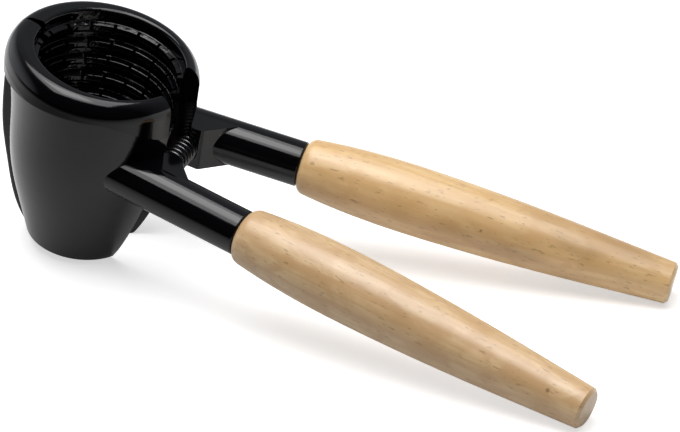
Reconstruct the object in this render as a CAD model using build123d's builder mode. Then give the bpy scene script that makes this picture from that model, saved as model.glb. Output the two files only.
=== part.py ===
from build123d import *
import math
import os

# A plier-type cone cracker for walnuts. Two enamelled half cups hinge on a pin at the back and an arm
# leaves each of them at the front, with a turned wooden handle on its end. A small compression spring
# between the arms holds the cup open.
#
# Everything is drawn in the cup frame: the hinge axis and the cup's axis point along +Z, the handles
# lie towards +X and the front jaw is on the -Y side. It is drawn open, as it rests, and each finished
# piece is laid over by its lean, so that the cup's base edge and both handle ends stand on z = 0.

os.makedirs("parts", exist_ok=True)

# --- Driving dimensions (mm, degrees) -------------------------------------------------------------

# The rim is a tilted disc with an elliptic shoulder, and its band ends in a level step at the hinge.
RIM_RADIUS = 29.4
RIM_HEIGHT = 63.1
RIM_TILT = 5.3
RIM_SHIFT = 0.0
SHOULDER_WIDTH = 4.8
SHOULDER_DEPTH = 6.0
BAND_FLARE = 0.5
BAND_FLOOR_Z = 55.6
MOUTH_RADIUS = 22.6
MOUTH_SHIFT = 1.6
MOUTH_ROUND = 1.3

# Height, radius and drift towards the handles of the body's round sections.
BODY_SECTIONS = (
    (-2.6, 16.1, -1.7),
    (7.3, 19.9, -0.8),
    (15.0, 22.4, -0.6),
    (30.0, 25.9, 0.1),
    (44.0, 27.5, 0.9),
    (55.0, 28.8, 0.7),
    (67.0, 28.9, 0.6),
)
BASE_ROUND = 2.2

LEDGE_DEPTH = 4.2
LEDGE_PITCH = 5.75
LEDGE_RADII = (20.9, 20.5, 20.0, 19.1, 17.8, 16.1, 14.0, 11.6)
LEDGE_STEP = 1.6
LEDGE_SLOPE = 0.6
LEDGE_LIP = 2.3
LEDGE_UNDERCUT = 3.9
LEDGE_ROUND = 0.5
NOTCH_COUNT = 18
NOTCH_WIDTH = 1.1
NOTCH_SHALLOW = 0.2
CAVITY_DEPTH = 54.0
CAVITY_FLOOR_STEP = 3.0

HALF_OPENING = 10.25
PARTING_GAP = 0.5
HINGE_X = -26.3
OPEN_STOP_GAP = 0.15

KEEL_HALF_WIDTH = 5.5
KEEL_ROUND = 1.0
# Outline of the keel's back edge, from the base to inside the rim band.
KEEL_BACK = ((-17.4, -2.6), (-20.7, 1.8), (-26.2, 17.7), (-28.8, 29.0), (-29.8, 42.0), (-29.9, 56.5))
KEEL_INNER_X = -12.0

PIN_RADIUS = 1.7
PIN_BOTTOM = 31.5
PIN_TOP = 59.5
PIN_CHAMFER = 0.3
# The pin is driven in from below, through a hole that opens under the keel's slope.
PIN_HOLE_BOTTOM = 11.5
KNUCKLE_RADIUS = 3.2
KNUCKLE_BOTTOM = 30.0
KNUCKLE_LOWER_SPLIT = 42.0
KNUCKLE_UPPER_SPLIT = 52.0
KNUCKLE_TOP = 60.5
KNUCKLE_GAP = 0.3
RUNNING_CLEARANCE = 0.05

ARM_RADIUS = 7.0
ARM_LENGTH = 33.7
ARM_ORIGIN = (25.3, 17.57, 34.7)
ARM_SPLAY = 7.34
ARM_DROP = 3.4
ARM_ROOT = 17.0
ARM_END_ROUND = 0.6

# The pad is the flat-topped web between an arm and the cup, with the spring's seat in its inner face.
PAD_FACE_Y = 8.1
PAD_INNER_X = 26.9
PAD_OUTER_X = 30.5
PAD_REACH_X = 38.3
PAD_ROOT_X = 8.0
PAD_ROOT_Y = 11.0
PAD_ANGLE = 51.0
PAD_TOP_Z = 41.8
PAD_TOP_ON_ARM = 6.9
PAD_UNDER = 6.6
PAD_ROUND = 1.6
PAD_INNER_ROUND = 0.7

SPRING_X = 25.8
SPRING_Z = 33.5
SPRING_RADIUS = 3.3
SPRING_WIRE = 0.95
SPRING_TURNS = 13
SPRING_STEPS_PER_TURN = 4
SPRING_SEAT_Y = 13.5
POCKET_RADIUS = 3.95
SPRING_END_GAP = 0.05

TANG_RADIUS = 3.0
TANG_IN_ARM = 14.0
TANG_IN_WOOD = 52.0
TANG_CHAMFER = 0.5

WOOD_LENGTH = 117.0
WOOD_START_ROUND = 3.0
WOOD_END_CHAMFER = 0.9
# Distance along the handle and radius there.
WOOD_PROFILE = ((0.0, 8.3), (23.4, 10.3), (46.8, 10.3), (70.2, 9.45), (93.6, 8.0), (117.0, 6.35))
WOOD_JOINT_GAP = 0.05

# --- Planes and axes worked out from them ----------------------------------------------------------

tilt = math.radians(RIM_TILT)
rim_normal = Vector(math.sin(tilt), 0, math.cos(tilt))
rim_along = Vector(math.cos(tilt), 0, -math.sin(tilt))
rim_middle = Vector(0, 0, RIM_HEIGHT)
rim_centre = rim_middle + rim_along * RIM_SHIFT
mouth_centre = rim_middle + rim_along * MOUTH_SHIFT
rim_section = Plane(origin=rim_centre, x_dir=rim_along, z_dir=(0, -1, 0))
mouth_section = Plane(origin=mouth_centre, x_dir=rim_along, z_dir=(0, -1, 0))
rim_axis = Axis(rim_centre, rim_normal)
mouth_axis = Axis(mouth_centre, rim_normal)

splay = math.radians(ARM_SPLAY)
drop = math.radians(ARM_DROP)
half_opening = math.radians(HALF_OPENING)


def arm_point(side, distance):
    """Point on an arm's axis; side is -1 for the front arm and +1 for the rear one."""
    along = Vector(
        math.cos(splay) * math.cos(drop),
        side * math.sin(splay) * math.cos(drop),
        -math.sin(drop),
    )
    origin = Vector(ARM_ORIGIN[0], side * ARM_ORIGIN[1], ARM_ORIGIN[2])
    return origin + along * distance


def arm_plane(side, distance):
    """Plane across an arm, its normal pointing out along the handle."""
    point = arm_point(side, distance)
    return Plane(origin=point, z_dir=arm_point(side, distance + 1) - point)


# --- Outside of the closed cup ---------------------------------------------------------------------

band_reach = 2 * SHOULDER_DEPTH

with BuildPart() as band:
    with BuildSketch(Plane.XY.offset(BAND_FLOOR_Z)):
        with Locations((RIM_SHIFT, 0)):
            Circle(RIM_RADIUS + BAND_FLARE)
    extrude(amount=band_reach)

with BuildPart() as keel:
    with BuildSketch(Plane.XZ):
        with BuildLine():
            back = Spline(*KEEL_BACK)
            Polyline(back @ 1, (KEEL_INNER_X, KEEL_BACK[-1][1]), (KEEL_INNER_X, KEEL_BACK[0][1]), back @ 0)
        make_face()
    extrude(amount=KEEL_HALF_WIDTH, both=True)
    back_edges = keel.edges().filter_by(GeomType.BSPLINE)
    fillet(back_edges, KEEL_ROUND)

with BuildPart() as cup_outside:
    for height, radius, drift in BODY_SECTIONS:
        with BuildSketch(Plane.XY.offset(height)):
            with Locations((drift, 0)):
                Circle(radius)
    loft()
    fillet(cup_outside.edges().group_by(Axis.Z)[0], BASE_ROUND)
    add(keel.part)
    add(band.part)
    with BuildSketch(rim_section):
        with BuildLine():
            shoulder_in = (RIM_RADIUS - SHOULDER_WIDTH, 0)
            shoulder_out = (RIM_RADIUS, -SHOULDER_DEPTH)
            band_low = (RIM_RADIUS + BAND_FLARE, -band_reach)
            Line((0, 0), shoulder_in)
            shoulder_middle = (shoulder_in[0], shoulder_out[1])
            EllipticalCenterArc(shoulder_middle, SHOULDER_WIDTH, SHOULDER_DEPTH, start_angle=0, arc_size=90)
            skirt = (2 * RIM_RADIUS, -RIM_HEIGHT)
            Polyline(shoulder_out, band_low, skirt, (skirt[0], 2 * skirt[1]), (0, 2 * skirt[1]), (0, 0))
        make_face()
    revolve(axis=rim_axis, mode=Mode.INTERSECT)

# --- Inside: a smooth mouth, then toothed ledges down to a small floor ------------------------------

ledge_depths = [LEDGE_DEPTH + LEDGE_PITCH * index for index in range(len(LEDGE_RADII))]

inner_wall = [(MOUTH_RADIUS, -ledge_depths[0])]
for depth, tip in zip(ledge_depths, LEDGE_RADII):
    inner_wall.append((tip, -depth - LEDGE_SLOPE))
    inner_wall.append((tip, -depth - LEDGE_LIP))
    inner_wall.append((tip + LEDGE_STEP, -depth - LEDGE_UNDERCUT))
    if depth != ledge_depths[-1]:
        inner_wall.append((tip + LEDGE_STEP, -depth - LEDGE_PITCH))

with BuildPart() as cavity:
    with BuildSketch(mouth_section):
        with BuildLine():
            lip_in = (MOUTH_RADIUS, -MOUTH_ROUND)
            lip_top = (MOUTH_RADIUS + MOUTH_ROUND, 0)
            TangentArc(lip_in, lip_top, tangent=(0, 1))
            Polyline(lip_top, (lip_top[0], LEDGE_DEPTH), (0, LEDGE_DEPTH), (0, -CAVITY_DEPTH))
            floor_edge = (inner_wall[-1][0] - CAVITY_FLOOR_STEP, -CAVITY_DEPTH)
            Polyline((0, -CAVITY_DEPTH), floor_edge, inner_wall[-1])
            Polyline(lip_in, *inner_wall)
        make_face()
        steps_top = -LEDGE_DEPTH + LEDGE_ROUND / 2
        rounded = [v for v in vertices() if v.X > floor_edge[0] and -CAVITY_DEPTH < v.Y < steps_top]
        fillet(rounded, LEDGE_ROUND)
    revolve(axis=mouth_axis)

with BuildPart() as notch:
    with BuildSketch(mouth_section):
        with BuildLine():
            bottom_out = LEDGE_STEP - NOTCH_SHALLOW
            steps = [(tip + bottom_out, -depth - LEDGE_LIP) for depth, tip in zip(ledge_depths, LEDGE_RADII)]
            top_out = (steps[0][0], -LEDGE_DEPTH + NOTCH_SHALLOW)
            low = (0, steps[-1][1] - LEDGE_SLOPE)
            Polyline((0, top_out[1]), top_out, *steps, low, (0, top_out[1]))
        make_face()
    extrude(amount=NOTCH_WIDTH / 2, both=True)

notch_pitch = 360 / NOTCH_COUNT
notches = [notch.part.rotate(mouth_axis, notch_pitch * (index + 0.5)) for index in range(NOTCH_COUNT)]

# --- One half of the cup with its arm, as the front jaw, before the hinge is cut --------------------


def parting_y(x):
    """Y of the front jaw's parting face at x, on the handles' side of the hinge."""
    return -(x - HINGE_X) * math.tan(half_opening) - PARTING_GAP


pad_reach_y = PAD_FACE_Y + (PAD_REACH_X - PAD_OUTER_X) * math.tan(math.radians(PAD_ANGLE))


def arm_axis_at(x):
    """Point of the front arm's axis at x."""
    return arm_point(-1, (x - ARM_ORIGIN[0]) / (math.cos(splay) * math.cos(drop)))


arm_root = arm_axis_at(PAD_ROOT_X)
arm_reach = arm_axis_at(PAD_REACH_X)
arm_top_line = Vector(0, 0, PAD_TOP_ON_ARM)
pad_corner = Vector(PAD_INNER_X, -PAD_FACE_Y, PAD_TOP_Z)
arm_along = (arm_reach - arm_root).normalized()
pad_top_normal = arm_along.cross(pad_corner - arm_root - arm_top_line).normalized()
pad_top = Plane(origin=pad_corner, x_dir=arm_along, z_dir=pad_top_normal)
pad_under_normal = (math.sin(drop), 0, math.cos(drop))
pad_under = Plane(origin=arm_root - Vector(0, 0, PAD_UNDER), x_dir=(0, 1, 0), z_dir=pad_under_normal)

with BuildPart() as pad:
    with BuildSketch(Plane.XY):
        with BuildLine():
            Polyline(
                (PAD_INNER_X, -PAD_FACE_Y),
                (PAD_OUTER_X, -PAD_FACE_Y),
                (PAD_REACH_X, -pad_reach_y),
                (arm_reach.X, arm_reach.Y),
                (arm_root.X, arm_root.Y),
                (PAD_ROOT_X, -PAD_ROOT_Y),
                (PAD_INNER_X - PAD_ROUND, parting_y(PAD_INNER_X)),
                (PAD_INNER_X, -PAD_FACE_Y),
            )
        make_face()
    extrude(amount=RIM_HEIGHT)
    corners = pad.edges().filter_by(Axis.Z)
    fillet(corners.sort_by_distance((PAD_OUTER_X, -PAD_FACE_Y, RIM_HEIGHT / 2))[0], PAD_ROUND)
    corners = pad.edges().filter_by(Axis.Z)
    fillet(corners.sort_by_distance((PAD_INNER_X, -PAD_FACE_Y, RIM_HEIGHT / 2))[0], PAD_INNER_ROUND)
    split(bisect_by=pad_top, keep=Keep.BOTTOM)
    split(bisect_by=pad_under, keep=Keep.TOP)

with BuildPart() as front_side:
    with BuildSketch(Plane.XY.offset(-RIM_HEIGHT)):
        with BuildLine():
            side_reach = 2 * RIM_RADIUS
            Polyline(
                (-side_reach, -OPEN_STOP_GAP),
                (HINGE_X, -OPEN_STOP_GAP),
                (HINGE_X, parting_y(HINGE_X)),
                (side_reach, parting_y(side_reach)),
                (side_reach, -side_reach),
                (-side_reach, -side_reach),
                (-side_reach, -OPEN_STOP_GAP),
            )
        make_face()
    extrude(amount=3 * RIM_HEIGHT)

with BuildPart() as half_outside:
    add(cup_outside.part)
    add(front_side.part, mode=Mode.INTERSECT)

with BuildPart() as half_cup:
    add(half_outside.part)
    with BuildSketch(arm_plane(-1, -ARM_ROOT)):
        Circle(ARM_RADIUS)
    extrude(amount=ARM_ROOT + ARM_LENGTH)
    arm_ends = half_cup.edges().filter_by(GeomType.CIRCLE).sort_by_distance(arm_point(-1, ARM_LENGTH))
    fillet(arm_ends[0], ARM_END_ROUND)
    add(pad.part)
    add(cavity.part, mode=Mode.SUBTRACT)
    add(notches, mode=Mode.SUBTRACT)


# --- Hinge: the front jaw has the lower and upper knuckles, the rear jaw the middle one --------------

hinge_at = (HINGE_X, 0)


def hinge_cylinder(radius, bottom, top):
    """Solid cylinder about the hinge axis."""
    with BuildPart() as cylinder:
        with BuildSketch(Plane.XY.offset(bottom)):
            with Locations(hinge_at):
                Circle(radius)
        extrude(amount=top - bottom)
    return cylinder.part


def knuckle(bottom, top):
    """Knuckle between two heights, trimmed to the outside of the keel and rim band."""
    with BuildPart() as barrel:
        add(hinge_cylinder(KNUCKLE_RADIUS, bottom, top))
        add(cup_outside.part, mode=Mode.INTERSECT)
    return barrel.part


def knuckle_relief(bottom, top):
    """Room cut in one jaw for the other jaw's knuckle."""
    return hinge_cylinder(KNUCKLE_RADIUS + KNUCKLE_GAP, bottom - KNUCKLE_GAP, top + KNUCKLE_GAP)


lower_knuckle = (KNUCKLE_BOTTOM, KNUCKLE_LOWER_SPLIT)
middle_knuckle = (KNUCKLE_LOWER_SPLIT + KNUCKLE_GAP, KNUCKLE_UPPER_SPLIT - KNUCKLE_GAP)
upper_knuckle = (KNUCKLE_UPPER_SPLIT, KNUCKLE_TOP)


def seats(side):
    """Spring pocket and tang socket of one jaw, as solids to cut away."""
    with BuildPart() as sockets:
        with BuildSketch(Plane.XZ.offset(-side * SPRING_SEAT_Y)):
            with Locations((SPRING_X, SPRING_Z)):
                Circle(POCKET_RADIUS)
        extrude(amount=side * SPRING_SEAT_Y)
        with BuildSketch(arm_plane(side, ARM_LENGTH - TANG_IN_ARM)):
            Circle(TANG_RADIUS)
        extrude(amount=TANG_IN_ARM + 1)
    return sockets.part


with BuildPart() as front_jaw:
    add(half_cup.part)
    add(knuckle(*lower_knuckle))
    add(knuckle(*upper_knuckle))
    add(knuckle_relief(*middle_knuckle), mode=Mode.SUBTRACT)
    add(hinge_cylinder(PIN_RADIUS, PIN_HOLE_BOTTOM, PIN_TOP), mode=Mode.SUBTRACT)
    add(seats(-1), mode=Mode.SUBTRACT)

with BuildPart() as rear_jaw:
    add(half_cup.part.mirror(Plane.XZ))
    add(knuckle(*middle_knuckle))
    add(knuckle_relief(*lower_knuckle), mode=Mode.SUBTRACT)
    add(knuckle_relief(*upper_knuckle), mode=Mode.SUBTRACT)
    add(hinge_cylinder(PIN_RADIUS + RUNNING_CLEARANCE, PIN_HOLE_BOTTOM, PIN_TOP), mode=Mode.SUBTRACT)
    add(seats(1), mode=Mode.SUBTRACT)

with BuildPart() as hinge_pin:
    add(hinge_cylinder(PIN_RADIUS, PIN_BOTTOM, PIN_TOP))
    chamfer(hinge_pin.edges().filter_by(GeomType.CIRCLE), PIN_CHAMFER)

# --- Return spring: one helical wire, each half turn a pair of arcs that meet in one direction -------

spring_end_y = SPRING_SEAT_Y - SPRING_WIRE / 2 - SPRING_END_GAP
spring_pitch = 2 * spring_end_y / SPRING_TURNS


def spring_point(turn):
    """Centre of the wire after a number of turns."""
    angle = 2 * math.pi * turn
    x = SPRING_X + SPRING_RADIUS * math.cos(angle)
    z = SPRING_Z + SPRING_RADIUS * math.sin(angle)
    return Vector(x, -spring_end_y + spring_pitch * turn, z)


def spring_direction(turn):
    """Direction of the wire after a number of turns."""
    angle = 2 * math.pi * turn
    around = 2 * math.pi * SPRING_RADIUS
    return Vector(-around * math.sin(angle), spring_pitch, around * math.cos(angle)).normalized()


def biarc(start, start_dir, end, end_dir):
    """Two arcs from start to end that keep both directions, and meet midway in a common one."""
    chord = end - start
    a = 2 * (1 - start_dir.dot(end_dir))
    b = 2 * chord.dot(start_dir + end_dir)
    c = -chord.dot(chord)
    reach = (-b + math.sqrt(b * b - 4 * a * c)) / (2 * a)
    joint = (start + start_dir * reach + end - end_dir * reach) / 2
    lead_in = TangentArc(start, joint, tangent=start_dir)
    TangentArc(joint, end, tangent=lead_in % 1)


with BuildPart() as return_spring:
    with BuildLine() as spring_line:
        for step in range(SPRING_TURNS * SPRING_STEPS_PER_TURN):
            here = step / SPRING_STEPS_PER_TURN
            there = (step + 1) / SPRING_STEPS_PER_TURN
            biarc(spring_point(here), spring_direction(here), spring_point(there), spring_direction(there))
    with BuildSketch(Plane(origin=spring_point(0), z_dir=spring_direction(0))):
        Circle(SPRING_WIRE / 2)
    sweep()

# --- Handles: a turned grip and the hidden tang that joins it to its arm -----------------------------


def make_tang(side):
    """Steel stud from the arm into the wood."""
    with BuildPart() as tang:
        with BuildSketch(arm_plane(side, ARM_LENGTH - TANG_IN_ARM)):
            Circle(TANG_RADIUS)
        extrude(amount=TANG_IN_ARM + TANG_IN_WOOD)
        chamfer(tang.edges().filter_by(GeomType.CIRCLE), TANG_CHAMFER)
    return tang.part


def make_handle(side):
    """Turned wooden grip with a rounded shoulder, a belly and a chamfered end, bored for its tang."""
    start = arm_plane(side, ARM_LENGTH + WOOD_JOINT_GAP)
    section = Plane(origin=start.origin, x_dir=start.z_dir, z_dir=start.z_dir.cross(Vector(0, 0, 1)))
    with BuildPart() as handle:
        with BuildSketch(section):
            with BuildLine():
                belly = Spline(*WOOD_PROFILE)
                Polyline(belly @ 1, (WOOD_LENGTH, 0), (0, 0), belly @ 0)
            make_face()
        revolve(axis=Axis(start.origin, start.z_dir))
        rims = handle.edges().filter_by(GeomType.CIRCLE)
        fillet(rims.sort_by_distance(start.origin)[0], WOOD_START_ROUND)
        rims = handle.edges().filter_by(GeomType.CIRCLE)
        chamfer(rims.sort_by_distance(start.origin)[-1], WOOD_END_CHAMFER)
        with BuildSketch(start):
            Circle(TANG_RADIUS)
        extrude(amount=TANG_IN_WOOD, mode=Mode.SUBTRACT)
    return handle.part


pieces = {
    "front_jaw": front_jaw.part,
    "rear_jaw": rear_jaw.part,
    "hinge_pin": hinge_pin.part,
    "return_spring": return_spring.part,
    "front_tang": make_tang(-1),
    "rear_tang": make_tang(1),
    "front_handle": make_handle(-1),
    "rear_handle": make_handle(1),
}

# --- Resting pose: laid over until the base edge and both handle ends touch the floor ----------------


def lowest(shape, angle):
    """Height of a shape's lowest point once it is laid over by an angle in degrees."""
    return shape.moved(Location((0, 0, 0), (0, angle, 0))).bounding_box().min.Z


low_lean = 0.0
high_lean = 20.0
for halving in range(20):
    lean = (low_lean + high_lean) / 2
    if lowest(pieces["front_handle"], lean) > lowest(half_outside.part, lean):
        low_lean = lean
    else:
        high_lean = lean
print("lean, degrees:", round(lean, 4))

for piece in pieces.values():
    piece.move(Location((0, 0, 0), (0, lean, 0)))
boxes = [piece.bounding_box() for piece in pieces.values()]
middle_x = (min(box.min.X for box in boxes) + max(box.max.X for box in boxes)) / 2
lift = -min(box.min.Z for box in boxes)
print("shift, mm:", round(-middle_x, 4), round(lift, 4))

for name, piece in pieces.items():
    piece.move(Location((-middle_x, 0, lift)))
    box = piece.bounding_box()
    print(name, round(piece.volume, 1), len(piece.solids()), piece.is_valid, box.min, box.max)
    piece.label = name
    export_step(piece, f"parts/{name}.step")
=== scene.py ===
"""Looks, floor, light and camera of a plier-type cone nut cracker.

Two half cups of glossy black enamel, a dark return spring and two turned grips of pale, clear-lacquered
beech. Every visible piece is one of the frame's CAD nodes, dressed with a procedural finish. Lengths are
in metres and angles in degrees, in the frame's own axes: +X towards the grips, +Z up, -Y to the viewer.
"""

import logging
import math
from dataclasses import dataclass, field
from enum import Enum
from typing import Any

import bmesh
import bpy
from mathutils import Euler, Matrix, Vector


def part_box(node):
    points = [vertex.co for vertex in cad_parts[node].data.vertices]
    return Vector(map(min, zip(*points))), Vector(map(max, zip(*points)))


log = logging.getLogger("nut_cracker")
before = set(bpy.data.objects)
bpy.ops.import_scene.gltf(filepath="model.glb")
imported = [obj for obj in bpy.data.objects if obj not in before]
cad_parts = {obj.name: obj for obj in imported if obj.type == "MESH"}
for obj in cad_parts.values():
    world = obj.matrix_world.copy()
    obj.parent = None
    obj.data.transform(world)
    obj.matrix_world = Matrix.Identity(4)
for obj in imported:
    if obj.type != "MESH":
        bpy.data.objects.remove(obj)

MILLIMETRE = 0.001

Colour = tuple[float, float, float]
Point = tuple[float, float, float]


class Side(Enum):
    """The two mirrored halves of the tool."""

    FRONT = "front"
    REAR = "rear"


class Graph:
    """Node tree of one material, built up by short calls."""

    def __init__(self, name: str) -> None:
        """Start an empty material of that name."""
        self.material = bpy.data.materials.new(name)
        self.material.use_nodes = True
        self.tree = self.material.node_tree
        self.tree.nodes.clear()

    def add(self, kind: str, settings: dict[str, Any] | None = None, **inputs: Any) -> bpy.types.Node:
        """Add a node and fill its sockets.

        Args:
            kind: The node's class, without its ShaderNode prefix.
            settings: Properties of the node itself.
            inputs: Socket names, with underscores for spaces, and a constant or an output for each.

        Returns:
            The new node.
        """
        node = self.tree.nodes.new(f"ShaderNode{kind}")
        for key, value in (settings or {}).items():
            setattr(node, key, value)
        for key, value in inputs.items():
            self.fill(node.inputs[key.replace("_", " ")], value)
        return node

    def fill(self, socket: bpy.types.NodeSocket, value: Any) -> None:
        """Link an output to a socket, or set the socket's own value."""
        if isinstance(value, bpy.types.NodeSocket):
            self.tree.links.new(value, socket)
        elif socket.type == "RGBA" and len(value) == 3:
            socket.default_value = (*value, 1.0)
        else:
            socket.default_value = value

    def math(self, operation: str, *values: Any) -> bpy.types.NodeSocket:
        """Arithmetic on one to three numbers, constants or outputs."""
        node = self.tree.nodes.new("ShaderNodeMath")
        node.operation = operation
        for socket, value in zip(node.inputs, values):
            self.fill(socket, value)
        return node.outputs[0]

    def vector(self, operation: str, *values: Any) -> bpy.types.Node:
        """Arithmetic on vectors, constants or outputs."""
        node = self.tree.nodes.new("ShaderNodeVectorMath")
        node.operation = operation
        for socket, value in zip(node.inputs, values):
            self.fill(socket, value)
        return node

    def remap(
        self, value: Any, low: float, high: float, to_low: float, to_high: float
    ) -> bpy.types.NodeSocket:
        """Smooth, clamped change of a number's range."""
        node = self.add("MapRange", {"interpolation_type": "SMOOTHSTEP"}, Value=value)
        names = ("From Min", "From Max", "To Min", "To Max")
        for name, number in zip(names, (low, high, to_low, to_high)):
            node.inputs[name].default_value = number
        return node.outputs["Result"]

    def mix(self, factor: Any, first: Any, second: Any) -> bpy.types.NodeSocket:
        """Colour between two others."""
        node = self.tree.nodes.new("ShaderNodeMix")
        node.data_type = "RGBA"
        self.fill(node.inputs[0], factor)
        self.fill(node.inputs[6], first)
        self.fill(node.inputs[7], second)
        return node.outputs[2]

    def noise(
        self, vector: Any, scale: float, detail: float = 2.0, distortion: float = 0.0
    ) -> bpy.types.NodeSocket:
        """Value of a fractal noise, from 0 to 1."""
        node = self.add("TexNoise", Vector=vector, Scale=scale, Detail=detail, Distortion=distortion)
        return node.outputs[0]

    def drawn_out(self, place: bpy.types.NodeSocket, share: float) -> bpy.types.NodeSocket:
        """Place with its X scaled down, which draws a pattern out along X."""
        return self.vector("MULTIPLY", place, (share, 1, 1)).outputs[0]

    def surface(self, shader: bpy.types.NodeSocket) -> bpy.types.Material:
        """Make a shader the material's surface and return the material."""
        output = self.tree.nodes.new("ShaderNodeOutputMaterial")
        self.tree.links.new(shader, output.inputs["Surface"])
        return self.material


def dress(node: str, material: bpy.types.Material) -> None:
    """Give a CAD node one material in every slot.

    Args:
        node: The node's name in the frame.
        material: The finish that it gets.
    """
    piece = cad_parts[node]
    if not piece.data.materials:
        piece.data.materials.append(material)
    for index in range(len(piece.data.materials)):
        piece.data.materials[index] = material
    log.info("dressed %s in %s", node, material.name)


@dataclass(frozen=True)
class BlackEnamel:
    """Thick glossy black enamel, with a faint orange peel all over and a lumpier film in the cavity."""

    colour: Colour = (0.0016, 0.0016, 0.0022)
    roughness: float = 0.1
    peel_size: float = 4.0 * MILLIMETRE
    peel_height: float = 0.012 * MILLIMETRE
    lump_size: float = 1.6 * MILLIMETRE
    lump_height: float = 0.16 * MILLIMETRE
    smear_size: float = 16.0 * MILLIMETRE
    smear_shares: tuple[float, float] = (0.8, 1.5)
    ior: float = 1.45
    cup_axis: Point = (0.134723, 0.0, 0.990883)
    cup_foot: Point = (-0.076, 0.0, 0.004)
    cavity_foot: float = 12.0 * MILLIMETRE
    cavity_slope: float = 0.24
    mouth_radius: float = 22.0 * MILLIMETRE

    def inside(self, graph: Graph, place: bpy.types.NodeSocket) -> bpy.types.NodeSocket:
        """Mask of the cavity, a cone round the cup's axis that stops at the mouth's radius.

        Args:
            graph: The material's node tree.
            place: The point's place on the object.

        Returns:
            1 on the ledges and the cavity's wall, 0 outside.
        """
        offset = graph.vector("SUBTRACT", place, self.cup_foot).outputs[0]
        height = graph.vector("DOT_PRODUCT", offset, self.cup_axis).outputs["Value"]
        foot = graph.vector("SCALE", self.cup_axis)
        graph.fill(foot.inputs["Scale"], height)
        radius = graph.vector("DISTANCE", offset, foot.outputs[0]).outputs["Value"]
        cone = graph.math("MULTIPLY_ADD", height, self.cavity_slope, self.cavity_foot)
        beyond = graph.math("SUBTRACT", radius, graph.math("MINIMUM", cone, self.mouth_radius))
        return graph.remap(beyond, 0.0, MILLIMETRE, 1.0, 0.0)

    def build(self) -> bpy.types.Material:
        """Build the material."""
        graph = Graph("black_enamel")
        place = graph.add("TexCoord").outputs["Object"]
        peel = graph.math("MULTIPLY", graph.noise(place, 1 / self.peel_size, 2.0), self.peel_height)
        lumps = graph.math("MULTIPLY", graph.noise(place, 1 / self.lump_size, 1.0), self.lump_height)
        lumps = graph.math("MULTIPLY", lumps, self.inside(graph, place))
        bump = graph.add("Bump", Strength=1.0, Distance=1.0, Height=graph.math("ADD", peel, lumps))
        smear = graph.noise(place, 1 / self.smear_size, 3.0)
        least, most = (self.roughness * share for share in self.smear_shares)
        shader = graph.add(
            "BsdfPrincipled",
            Base_Color=self.colour,
            Roughness=graph.remap(smear, 0.35, 0.75, least, most),
            IOR=self.ior,
            Normal=bump.outputs[0],
        )
        return graph.surface(shader.outputs[0])


@dataclass(frozen=True)
class Steel:
    """Drawn or turned steel with a fine, mottled grain."""

    name: str
    colour: Colour
    roughness: float
    grain: float = 0.25 * MILLIMETRE
    dark_share: float = 0.7
    gloss_shares: tuple[float, float] = (0.8, 1.3)

    def build(self) -> bpy.types.Material:
        """Build the material."""
        graph = Graph(self.name)
        place = graph.add("TexCoord").outputs["Object"]
        grain = graph.noise(place, 1 / self.grain, 2.0)
        shade = graph.remap(grain, 0.3, 0.8, 0.0, 1.0)
        dark = tuple(self.dark_share * channel for channel in self.colour)
        colour = graph.mix(shade, self.colour, dark)
        least, most = (self.roughness * share for share in self.gloss_shares)
        gloss = graph.remap(grain, 0.3, 0.7, least, most)
        shader = graph.add("BsdfPrincipled", Base_Color=colour, Metallic=1.0, Roughness=gloss)
        return graph.surface(shader.outputs[0])


@dataclass(frozen=True)
class Plank:
    """Where one grip was cut, the colours of its wood, which on the rear grip also hold painted light, and
    its one dark spot.
    """

    spin: float
    shift: float
    spot: Point
    spot_radius: float
    pale: Colour
    tan: Colour
    brown: Colour = (0.33, 0.17, 0.07)


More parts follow.
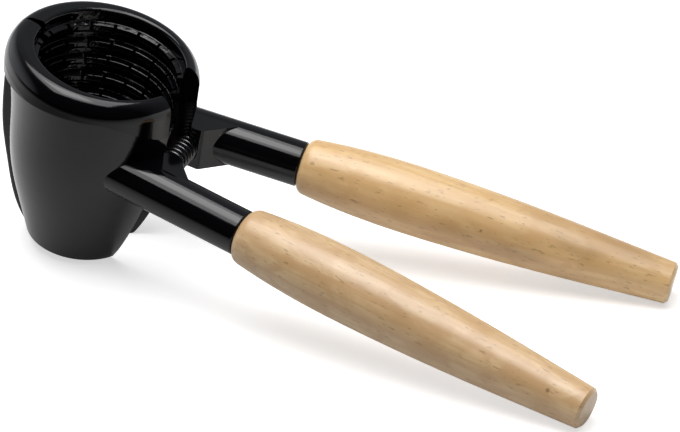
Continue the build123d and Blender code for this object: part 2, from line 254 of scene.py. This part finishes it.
@dataclass(frozen=True)
class LacqueredBeech:
    """Pale beech under clear lacquer, its grain running along one grip."""

    name: str
    start: Point
    turn: Point
    shift: Point
    plank: Plank
    ring_width: float = 3.4 * MILLIMETRE
    streak: float = 1.6 * MILLIMETRE
    mottle: float = 7.0 * MILLIMETRE
    fleck: float = 0.7 * MILLIMETRE
    sway: float = 9.0 * MILLIMETRE
    sway_scale: float = 60.0
    cloud_scale: float = 45.0
    pore_depth: float = 0.03 * MILLIMETRE
    spot_core: float = 0.3
    spot_strength: float = 0.85
    roughness: float = 0.42
    ior: float = 1.45
    matt_roughness: float = 0.3
    lacquer: float = 0.8
    lacquer_roughness: float = 0.32

    def build(self) -> bpy.types.Material:
        """Build the material."""
        graph = Graph(self.name)
        plank = self.plank
        coords = graph.add("TexCoord").outputs["Object"]
        along = graph.add(
            "Mapping", {"vector_type": "TEXTURE"}, Vector=coords, Location=self.start, Rotation=self.turn
        ).outputs[0]
        place = graph.vector("ADD", along, self.shift).outputs[0]

        sway = graph.noise(graph.drawn_out(place, 0.25), self.sway_scale, 2.0)
        radius = graph.vector("LENGTH", graph.drawn_out(place, 0.015)).outputs["Value"]
        swayed = graph.math("ADD", radius, graph.math("MULTIPLY", sway, self.sway))
        wave = graph.math("SINE", graph.math("MULTIPLY", swayed, 2 * math.pi / self.ring_width))
        ring = graph.remap(wave, -0.2, 1.0, 0.0, 0.28)

        streak = graph.noise(graph.drawn_out(place, 0.045), 1 / self.streak, 4.0, 0.3)
        cloud = graph.noise(graph.drawn_out(place, 0.4), self.cloud_scale, 3.0)
        curl = graph.noise(graph.drawn_out(place, 0.6), 1 / self.mottle, 3.0, 0.8)
        base = graph.mix(graph.remap(streak, 0.35, 0.7, 0.0, 0.7), plank.pale, plank.tan)
        base = graph.mix(ring, base, plank.tan)
        base = graph.mix(graph.remap(curl, 0.4, 0.64, 0.0, 0.8), base, plank.tan)
        base = graph.mix(graph.remap(cloud, 0.48, 0.75, 0.0, 0.5), base, plank.brown)

        fleck = graph.noise(graph.drawn_out(place, 0.24), 1 / self.fleck, 2.0)
        pore = graph.remap(fleck, 0.62, 0.72, 0.0, 0.5)
        base = graph.mix(pore, base, plank.brown)
        away = graph.vector("DISTANCE", coords, plank.spot).outputs["Value"]
        core = self.spot_core * plank.spot_radius
        knot = graph.remap(away, core, plank.spot_radius, self.spot_strength, 0.0)
        base = graph.mix(knot, base, plank.brown)

        bump = graph.add(
            "Bump", {"invert": True}, Strength=0.4, Distance=self.pore_depth, Height=pore
        ).outputs[0]
        shader = graph.add(
            "BsdfPrincipled",
            Base_Color=base,
            Roughness=self.roughness,
            IOR=self.ior,
            Diffuse_Roughness=self.matt_roughness,
            Coat_Weight=self.lacquer,
            Coat_Roughness=self.lacquer_roughness,
            Normal=bump,
        )
        return graph.surface(shader.outputs[0])


@dataclass
class CastJaws:
    """The two enamelled half cups with their arms."""

    finish: BlackEnamel = field(default_factory=BlackEnamel)

    def build(self) -> None:
        """Dress both jaws in one enamel."""
        enamel = self.finish.build()
        for side in Side:
            dress(f"{side.value}_jaw", enamel)


@dataclass
class Grips:
    """The two turned wooden grips."""

    end_share: float = 0.1
    pith_drop: float = 14.0 * MILLIMETRE
    front: Plank = Plank(
        spin=25.0,
        shift=0.21,
        spot=(0.08911, -0.04115, 0.01244),
        spot_radius=0.9 * MILLIMETRE,
        pale=(0.87, 0.63, 0.36),
        tan=(0.7, 0.44, 0.21),
    )
    # The rear grip's paler, more golden colours are partly a warmer tone of its own and partly painted
    # light, brightening the far grip, which gets less light than the front one.
    rear: Plank = Plank(
        spin=140.0,
        shift=0.57,
        spot=(0.04465, 0.02012, 0.02048),
        spot_radius=0.6 * MILLIMETRE,
        pale=(0.94, 0.67, 0.345),
        tan=(0.8, 0.51, 0.225),
    )

    def axis(self, node: str) -> tuple[Vector, Vector]:
        """Line through the middles of a grip's two ends.

        Args:
            node: The grip's CAD node.

        Returns:
            The point at the end next to the cup, and the direction towards the other end.
        """
        low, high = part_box(node)
        reach = (high.x - low.x) * self.end_share
        points = [vertex.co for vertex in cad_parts[node].data.vertices]
        ends = []
        for start in (low.x, high.x - reach):
            near = [point for point in points if start <= point.x <= start + reach]
            corners = [[function(point[i] for point in near) for i in range(3)] for function in (min, max)]
            ends.append((Vector(corners[0]) + Vector(corners[1])) / 2)
        return ends[0], (ends[1] - ends[0]).normalized()

    def build(self) -> None:
        """Dress each grip in wood whose grain follows it, cut from a different place of the plank."""
        for side, plank in ((Side.FRONT, self.front), (Side.REAR, self.rear)):
            start, along = self.axis(f"{side.value}_handle")
            spin = Euler((math.radians(plank.spin), 0, 0)).to_quaternion()
            turn = along.to_track_quat("X", "Z") @ spin
            finish = LacqueredBeech(
                name=f"lacquered_beech_{side.value}",
                start=tuple(start),
                turn=tuple(turn.to_euler()),
                shift=(plank.shift, 0.0, self.pith_drop),
                plank=plank,
            )
            dress(f"{side.value}_handle", finish.build())


@dataclass
class Hardware:
    """The return spring, the hinge pin and the tangs inside the grips."""

    spring: Steel = Steel("dark_spring_steel", (0.12, 0.12, 0.125), 0.25)
    bright: Steel = Steel("turned_steel", (0.56, 0.56, 0.57), 0.3)

    def build(self) -> None:
        """Dress the spring in dark wire and the hidden pieces in bright steel."""
        dress("return_spring", self.spring.build())
        bright = self.bright.build()
        for node in ("hinge_pin", "front_tang", "rear_tang"):
            dress(node, bright)


@dataclass(frozen=True)
class Softbox:
    """A rectangular lamp that looks at a point of the object."""

    name: str
    place: Point
    size: tuple[float, float]
    power: float
    target: Point = (-0.02, 0.0, 0.03)

    def build(self) -> None:
        """Hang the lamp."""
        light = bpy.data.lights.new(self.name, "AREA")
        light.shape = "RECTANGLE"
        light.size, light.size_y = self.size
        light.energy = self.power
        lamp = bpy.data.objects.new(self.name, light)
        lamp.location = self.place
        aim = Vector(self.target) - Vector(self.place)
        lamp.rotation_euler = aim.to_track_quat("-Z", "Y").to_euler()
        bpy.context.scene.collection.objects.link(lamp)


@dataclass
class Studio:
    """Pale floor, dim surroundings, two lamps and the camera of the photograph."""

    azimuth: float = 22.727
    elevation: float = 31.096
    roll: float = 0.426
    distance: float = 1.2625
    aim: Point = (0.00761, 0.0, 0.02778)
    lens: float = 226.04
    sensor: float = 36.0
    floor_width: float = 8.0
    floor_albedo: float = 0.82
    floor_glow: float = 0.55
    floor_sheen: tuple[float, float] = (0.2, 0.9)
    sheen_reach: tuple[float, float] = (0.12, 0.5)
    floor_fade: tuple[float, float] = (-0.26, 0.05)
    room_glow: tuple[float, float] = (0.015, 0.28)
    room_fade: tuple[float, float] = (-0.2, 0.5)
    left_glow: tuple[float, float] = (0.0, 0.85)
    left_fade: tuple[float, float] = (-0.7, -0.92)
    room_colour: Colour = (0.9, 0.94, 1.0)
    lamps: tuple[Softbox, ...] = (
        Softbox("wide_softbox", (-0.08, -0.02, 1.2), (1.15, 1.15), 14.5),
        Softbox("softbox_core", (-0.12, -0.05, 1.19), (0.6, 0.5), 3.2),
    )

    def camera(self) -> None:
        """Place the camera on the sight line through the aim."""
        azimuth, elevation = math.radians(self.azimuth), math.radians(self.elevation)
        sight = Vector(
            (
                -math.sin(azimuth) * math.cos(elevation),
                math.cos(azimuth) * math.cos(elevation),
                -math.sin(elevation),
            )
        )
        data = bpy.data.cameras.new("photo_camera")
        data.lens = self.lens
        data.sensor_width = self.sensor
        data.clip_end = 20.0
        camera = bpy.data.objects.new("photo_camera", data)
        bpy.context.scene.collection.objects.link(camera)
        level = Matrix.Rotation(azimuth, 4, "Z") @ Matrix.Rotation(math.pi / 2 - elevation, 4, "X")
        turn = level @ Matrix.Rotation(math.radians(self.roll), 4, "Z")
        camera.matrix_world = Matrix.Translation(Vector(self.aim) - sight * self.distance) @ turn
        bpy.context.scene.camera = camera

    def floor(self) -> None:
        """Lay a pale floor that is white to the camera, keeps a faint shadow and is dimmer in reflections.

        It fades to black towards the viewer, as the gloss of the real tool shows.
        """
        mesh = bpy.data.meshes.new("floor")
        shape = bmesh.new()
        bmesh.ops.create_grid(shape, x_segments=1, y_segments=1, size=self.floor_width / 2)
        shape.to_mesh(mesh)
        shape.free()
        floor = bpy.data.objects.new("floor", mesh)
        bpy.context.scene.collection.objects.link(floor)
        graph = Graph("pale_floor")
        place = graph.add("TexCoord").outputs["Object"]
        depth = graph.add("SeparateXYZ", Vector=place).outputs["Y"]
        lightness = graph.remap(depth, *self.floor_fade, 0.0, 1.0)
        rays = graph.add("LightPath")
        seen = graph.math("MAXIMUM", rays.outputs["Is Camera Ray"], rays.outputs["Is Transmission Ray"])
        mirrored = graph.math("MULTIPLY", rays.outputs["Is Glossy Ray"], lightness)
        reach = graph.vector("LENGTH", place).outputs["Value"]
        sheen = graph.remap(reach, *self.sheen_reach, *self.floor_sheen)
        seen = graph.math("MAXIMUM", seen, graph.math("MULTIPLY", mirrored, sheen))
        far_glow = graph.math("MULTIPLY", graph.math("SUBTRACT", 1.0, lightness), 1.0 - self.floor_glow)
        glow = graph.math("MULTIPLY", seen, graph.math("ADD", far_glow, self.floor_glow))
        lit = graph.math("MULTIPLY", lightness, self.floor_albedo)
        matt = graph.add("BsdfDiffuse", Color=graph.mix(lit, (0.0, 0.0, 0.0), (1.0, 1.0, 1.0)))
        shine = graph.add("Emission", Color=(1.0, 1.0, 1.0), Strength=glow)
        both = graph.add("AddShader")
        graph.tree.links.new(matt.outputs[0], both.inputs[0])
        graph.tree.links.new(shine.outputs[0], both.inputs[1])
        mesh.materials.append(graph.surface(both.outputs[0]))

    def surroundings(self) -> None:
        """Surround the scene with a dim room: dark at the viewer, grey behind, brighter at the left."""
        world = bpy.data.worlds.new("studio")
        bpy.context.scene.world = world
        world.use_nodes = True
        nodes, links = world.node_tree.nodes, world.node_tree.links
        direction = nodes.new("ShaderNodeTexCoord").outputs["Generated"]
        parts = nodes.new("ShaderNodeSeparateXYZ")
        links.new(direction, parts.inputs[0])
        glows = []
        names = ("From Min", "From Max", "To Min", "To Max")
        for axis, fade, glow_range in (
            ("Y", self.room_fade, self.room_glow),
            ("X", self.left_fade, self.left_glow),
        ):
            glow = nodes.new("ShaderNodeMapRange")
            for name, number in zip(names, (*fade, *glow_range)):
                glow.inputs[name].default_value = number
            links.new(parts.outputs[axis], glow.inputs["Value"])
            glows.append(glow.outputs["Result"])
        total = nodes.new("ShaderNodeMath")
        for glow, socket in zip(glows, total.inputs):
            links.new(glow, socket)
        nodes["Background"].inputs["Color"].default_value = (*self.room_colour, 1.0)
        links.new(total.outputs[0], nodes["Background"].inputs["Strength"])

    def build(self) -> None:
        """Build floor, surroundings, lamps and camera."""
        self.floor()
        self.surroundings()
        for lamp in self.lamps:
            lamp.build()
        self.camera()
        bpy.context.scene.view_settings.view_transform = "Standard"


def main() -> None:
    """Dress the tool and light it."""
    logging.basicConfig(level=logging.INFO)
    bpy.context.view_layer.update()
    CastJaws().build()
    Grips().build()
    Hardware().build()
    Studio().build()


if __name__ == "__main__":
    main()
